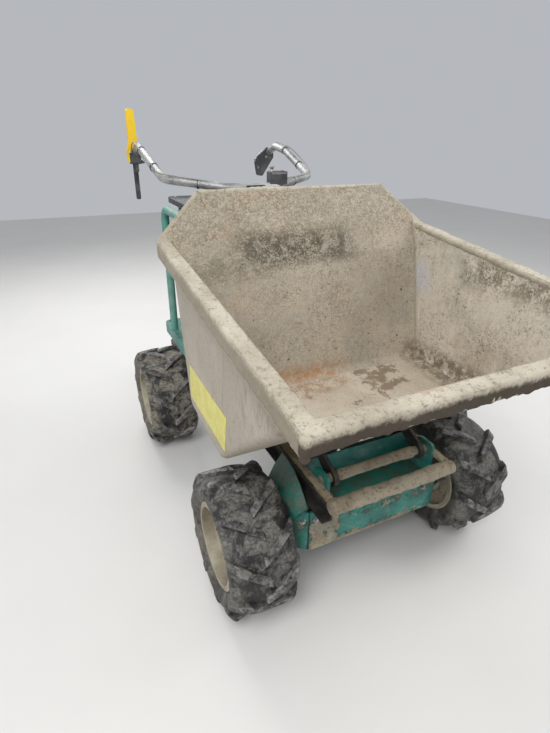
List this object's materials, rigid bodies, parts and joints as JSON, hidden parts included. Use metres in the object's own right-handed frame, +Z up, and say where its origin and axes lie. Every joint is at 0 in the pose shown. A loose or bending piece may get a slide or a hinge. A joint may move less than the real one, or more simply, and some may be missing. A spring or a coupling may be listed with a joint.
{
  "type": "site dumper",
  "caption": "Self-propelled power buggy: a tipping tub on a steel chassis with lugged tyres, rear steering by a handlebar, an engine deck and a folding platform for its operator.",
  "frame": {"origin": "on the ground, midway between the tub's front lip and the platform's back edge, on the centre plane", "axes": "+Y along the machine, back towards the operator; +X to the operator's left; +Z up"},
  "size_m": [1.23, 2.454, 1.711],
  "materials": {
    "tub_plastic": "light grey moulded plastic, stained and crusted with cement",
    "teal_paint": "worn teal paint with cement dust",
    "dark_steel": "dark paint, dirty",
    "crusted_steel": "steel under a crust of cement",
    "bright_steel": "plain steel",
    "engine_casting": "dull casting",
    "dark_plastic": "dark grey plastic, dusty",
    "yellow_plastic": "yellow plastic",
    "bar_paint": "off-white tube speckled with cement",
    "rim_paint": "cream paint, dusty",
    "tyre_rubber": "worn rubber with grey dust",
    "black_rubber": "black rubber"
  },
  "bodies": {
    "chassis": {"cylinder_bracket": "teal_paint", "frame_crossmembers": "dark_steel", "front_bumper": "teal_paint", "front_cross_bar": "crusted_steel", "pivot_shaft": "crusted_steel", "pivot_bracket": "teal_paint", "tub_rests": "black_rubber", "front_axle_beam": "dark_steel", "rear_axle_beam": "dark_steel", "steering_post": "dark_steel", "hydraulic_pump": "engine_casting", "engine_deck": "teal_paint", "deck_legs": "dark_steel", "rear_panel": "teal_paint", "hood": "dark_plastic", "engine_block": "engine_casting", "engine_shroud": "dark_plastic", "muffler": "bright_steel", "air_cleaner": "dark_plastic", "fuel_tank": "dark_plastic", "hydraulic_tank": "teal_paint", "platform_bracket": "dark_steel", "tie_downs": "dark_steel", "rail_right": "crusted_steel", "rail_left": "crusted_steel", "drive_motor_right": "engine_casting", "drive_motor_left": "engine_casting", "engine_guard_right": "teal_paint", "engine_guard_left": "teal_paint", "guard_cross_tube": "teal_paint"},
    "tub": {"tub_shell": "tub_plastic", "tub_cradle": "dark_steel"},
    "lift_barrel": {"cylinder_barrel": "dark_steel"},
    "lift_rod": {"cylinder_rod": "bright_steel"},
    "steering": {"steering_column": "dark_steel", "handlebar": "bar_paint", "handlebar_clamp": "dark_steel", "console_box": "dark_plastic", "control_box": "dark_plastic", "grip_lever": "yellow_plastic", "stop_lever": "dark_plastic", "hand_guard": "dark_steel"},
    "right_knuckle": {"knuckle_right": "dark_steel"},
    "left_knuckle": {"knuckle_left": "dark_steel"},
    "track_link": {"tie_rod": "bright_steel"},
    "step": {"platform": "dark_steel"},
    "wheel_front_right": {"tyre_front_right": "tyre_rubber", "rim_front_right": "rim_paint", "hub_front_right": "dark_steel"},
    "wheel_front_left": {"tyre_front_left": "tyre_rubber", "rim_front_left": "rim_paint", "hub_front_left": "dark_steel"},
    "wheel_rear_right": {"tyre_rear_right": "tyre_rubber", "rim_rear_right": "rim_paint", "hub_rear_right": "dark_steel"},
    "wheel_rear_left": {"tyre_rear_left": "tyre_rubber", "rim_rear_left": "rim_paint", "hub_rear_left": "dark_steel"}
  },
  "joints": [
    {"name": "tub_dump", "type": "hinge", "parent": "chassis", "child": "tub", "pos_m": [0, -0.743, 0.53], "axis": [1, 0, 0], "range_deg": [0, 72]},
    {"name": "cylinder_tilt", "type": "hinge", "parent": "chassis", "child": "lift_barrel", "pos_m": [0, -0.373, 0.27], "axis": [1, 0, 0], "range_deg": [-1, 14]},
    {"name": "cylinder_slide", "type": "slide", "parent": "lift_barrel", "child": "lift_rod", "axis": [0, -0.458, 0.889], "range_m": [0, 0.234]},
    {"name": "steer", "type": "hinge", "parent": "chassis", "child": "steering", "pos_m": [0, 0.377, 1], "axis": [0, 0, 1], "range_deg": [-25, 25]},
    {"name": "left_kingpin", "type": "hinge", "parent": "chassis", "child": "left_knuckle", "pos_m": [0.33, 0.545, 0.264], "axis": [0, 0, 1], "range_deg": [-25, 25]},
    {"name": "right_kingpin", "type": "hinge", "parent": "chassis", "child": "right_knuckle", "pos_m": [-0.33, 0.545, 0.264], "axis": [0, 0, 1], "range_deg": [-25, 25]},
    {"name": "tie_rod_eye", "type": "hinge", "parent": "left_knuckle", "child": "track_link", "pos_m": [0.33, 0.665, 0.314], "axis": [0, 0, 1], "range_deg": [-25, 25]},
    {"name": "platform_fold", "type": "hinge", "parent": "chassis", "child": "step", "pos_m": [0, 0.827, 0.288], "axis": [1, 0, 0], "range_deg": [0, 90]},
    {"name": "spin_front_right", "type": "hinge", "parent": "chassis", "child": "wheel_front_right", "pos_m": [-0.488, -0.623, 0.264], "axis": [1, 0, 0], "continuous": true},
    {"name": "spin_front_left", "type": "hinge", "parent": "chassis", "child": "wheel_front_left", "pos_m": [0.488, -0.623, 0.264], "axis": [1, 0, 0], "continuous": true},
    {"name": "spin_rear_right", "type": "hinge", "parent": "right_knuckle", "child": "wheel_rear_right", "pos_m": [-0.488, 0.545, 0.264], "axis": [1, 0, 0], "continuous": true},
    {"name": "spin_rear_left", "type": "hinge", "parent": "left_knuckle", "child": "wheel_rear_left", "pos_m": [0.488, 0.545, 0.264], "axis": [1, 0, 0], "continuous": true}
  ],
  "couplings": [
    {"joint": "cylinder_tilt", "follows": "tub_dump", "ratio": 0.15561},
    {"joint": "cylinder_slide", "follows": "tub_dump", "m_per_rad": 0.18411},
    {"joint": "left_kingpin", "follows": "steer", "ratio": 1},
    {"joint": "right_kingpin", "follows": "steer", "ratio": 1},
    {"joint": "tie_rod_eye", "follows": "steer", "ratio": -1}
  ]
}
